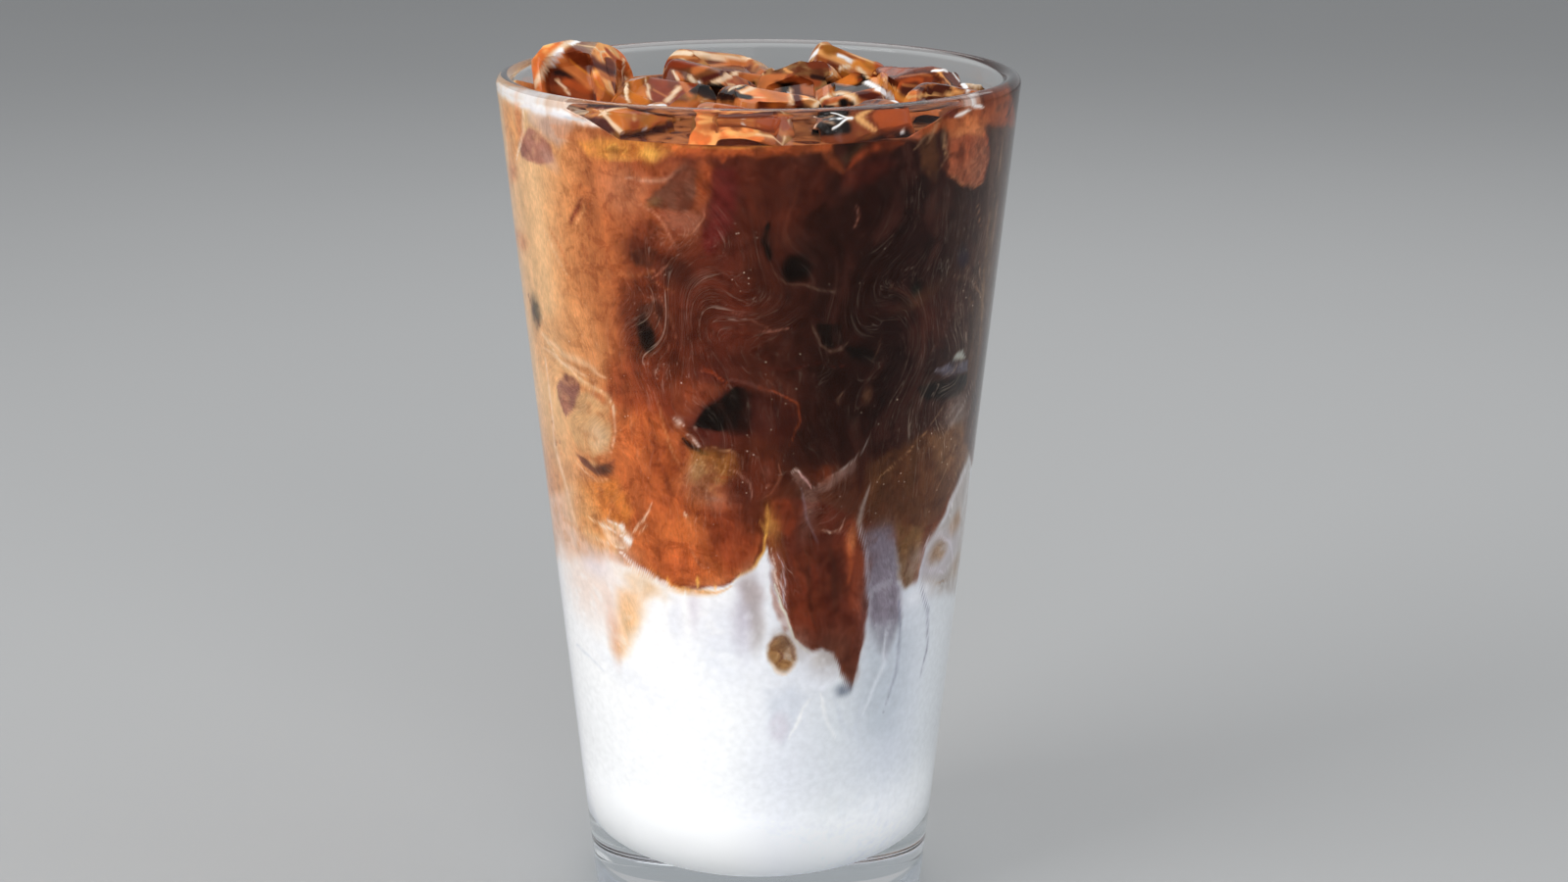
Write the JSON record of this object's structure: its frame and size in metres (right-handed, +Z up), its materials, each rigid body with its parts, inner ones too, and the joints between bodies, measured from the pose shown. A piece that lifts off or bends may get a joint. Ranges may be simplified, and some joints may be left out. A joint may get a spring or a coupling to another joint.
{
  "type": "iced latte in a glass",
  "caption": "Iced latte in a tapered clear drinking glass: milk below, coffee above, melting ice cubes standing out of the top.",
  "frame": {"origin": "centre of the glass's foot, on the surface it stands on", "axes": "+Z up along the glass's axis; -Y towards the side that the picture shows; +X to the right in the picture"},
  "size_m": [0.089, 0.089, 0.1545],
  "materials": {
    "clear_glass": "clear polished glass",
    "milk": "opaque white milk",
    "coffee": "milky coffee, amber to dark brown",
    "ice": "wet ice coated with coffee"
  },
  "bodies": {
    "root": {"glass": "clear_glass", "milk": "milk", "coffee": "coffee", "ice_01": "ice", "ice_02": "ice", "ice_03": "ice", "ice_04": "ice", "ice_05": "ice", "ice_06": "ice", "ice_07": "ice", "ice_08": "ice", "ice_09": "ice", "ice_10": "ice", "ice_11": "ice", "ice_12": "ice", "ice_13": "ice", "ice_14": "ice", "ice_15": "ice"}
  },
  "joints": []
}
